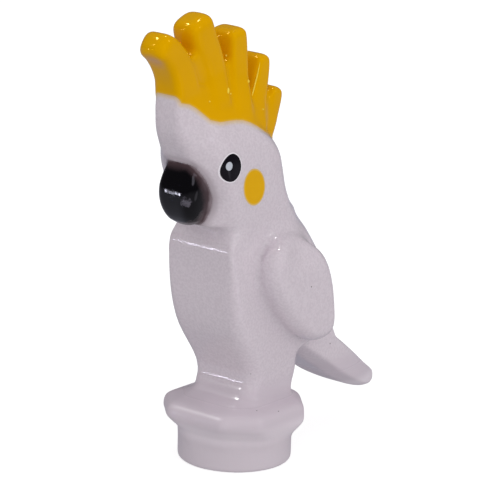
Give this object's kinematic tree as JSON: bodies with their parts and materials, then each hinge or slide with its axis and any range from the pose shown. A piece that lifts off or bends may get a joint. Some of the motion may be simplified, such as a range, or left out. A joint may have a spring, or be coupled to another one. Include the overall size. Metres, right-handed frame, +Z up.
{
  "type": "toy cockatoo figure",
  "caption": "Small moulded plastic cockatoo with a raised fan crest, folded wings and a socket foot that fits over a stud.",
  "frame": {"origin": "on the floor under the middle of the figure's bounding box; the foot tube's axis stands 2 mm in front of it, towards -Y", "axes": "+Z up; the bird faces -Y, its tail points to +Y, and its left side is towards +X"},
  "size_m": [0.0078, 0.0202, 0.0265],
  "materials": {
    "white_abs": "glossy injection-moulded white ABS",
    "yellow_paint": "glossy yellow coating on the moulding",
    "black_paint": "glossy black coating with a thin brownish edge",
    "eye_print": "printed black oval with a pale glint",
    "cheek_print": "printed yellow oval"
  },
  "bodies": {
    "root": {"foot_tube": "white_abs", "foot_collar": "white_abs", "trunk": "white_abs", "tail": "white_abs", "wing_left": "white_abs", "wing_right": "white_abs", "head": "white_abs", "crest": "yellow_paint", "beak": "black_paint", "eye_left": "eye_print", "eye_right": "eye_print", "cheek_left": "cheek_print", "cheek_right": "cheek_print"}
  },
  "joints": []
}
